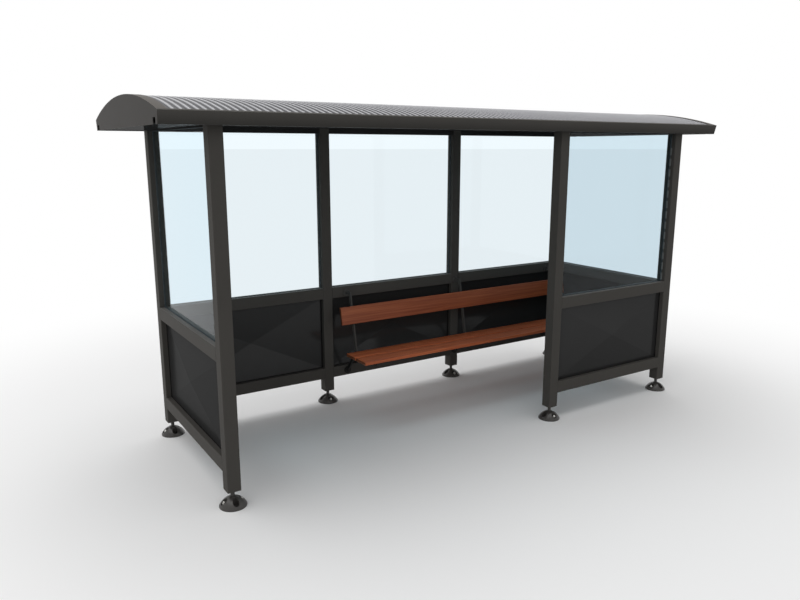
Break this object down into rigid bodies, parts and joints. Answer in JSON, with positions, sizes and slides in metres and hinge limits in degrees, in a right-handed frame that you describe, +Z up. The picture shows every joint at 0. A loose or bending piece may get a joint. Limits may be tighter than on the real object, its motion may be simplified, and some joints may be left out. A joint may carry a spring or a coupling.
{
  "type": "bus shelter",
  "caption": "Open-fronted bus shelter: charcoal post and rail frame on levelling feet, glass over creased panels, barrel roof of corrugated sheet, timber wall bench.",
  "frame": {"origin": "middle of the plan at ground level, under the feet", "axes": "+X along the shelter, towards the front screen; the open front faces -Y; +Z up"},
  "size_m": [4.55, 1.61, 2.3998],
  "materials": {
    "frame_coat": "charcoal powder coat, satin",
    "bracket_steel": "charcoal powder coat, satin",
    "panel_coat": "dark charcoal powder coat, satin",
    "glazing": "clear toughened glass with a pale blue tint",
    "roof_sheeting": "grey coated corrugated sheet, semi gloss",
    "foot_casting": "dark glossy coated casting",
    "bench_timber": "oiled reddish brown hardwood",
    "bolt_steel": "zinc plated steel",
    "gasket": "dark grey glazing rubber",
    "packer": "grey nylon glazing packers"
  },
  "bodies": {
    "root": {"back_left_post": "frame_coat", "back_inner_left_post": "frame_coat", "back_inner_right_post": "frame_coat", "back_right_post": "frame_coat", "front_left_post": "frame_coat", "front_middle_post": "frame_coat", "front_right_post": "frame_coat", "back_bottom_rails": "frame_coat", "back_sills": "frame_coat", "back_head_rails": "frame_coat", "left_bottom_rail": "frame_coat", "left_sill": "frame_coat", "left_head_rail": "frame_coat", "right_bottom_rail": "frame_coat", "right_sill": "frame_coat", "right_head_rail": "frame_coat", "screen_bottom_rail": "frame_coat", "screen_sill": "frame_coat", "front_head_rails": "frame_coat", "gable_ribs": "frame_coat", "arch_ribs": "frame_coat", "left_end_cap": "frame_coat", "right_end_cap": "frame_coat", "front_fascia": "frame_coat", "back_fascia": "frame_coat", "eave_soffits": "frame_coat", "end_soffits": "frame_coat", "left_bench_bracket": "bracket_steel", "middle_bench_bracket": "bracket_steel", "right_bench_bracket": "bracket_steel", "back_panels": "panel_coat", "left_panel": "panel_coat", "right_panel": "panel_coat", "screen_panel": "panel_coat", "back_panes": "glazing", "left_pane": "glazing", "right_pane": "glazing", "screen_pane": "glazing", "roof_sheet": "roof_sheeting", "front_feet": "foot_casting", "back_feet": "foot_casting", "backrest_board": "bench_timber", "front_seat_board": "bench_timber", "back_seat_board": "bench_timber"}
  },
  "joints": []
}
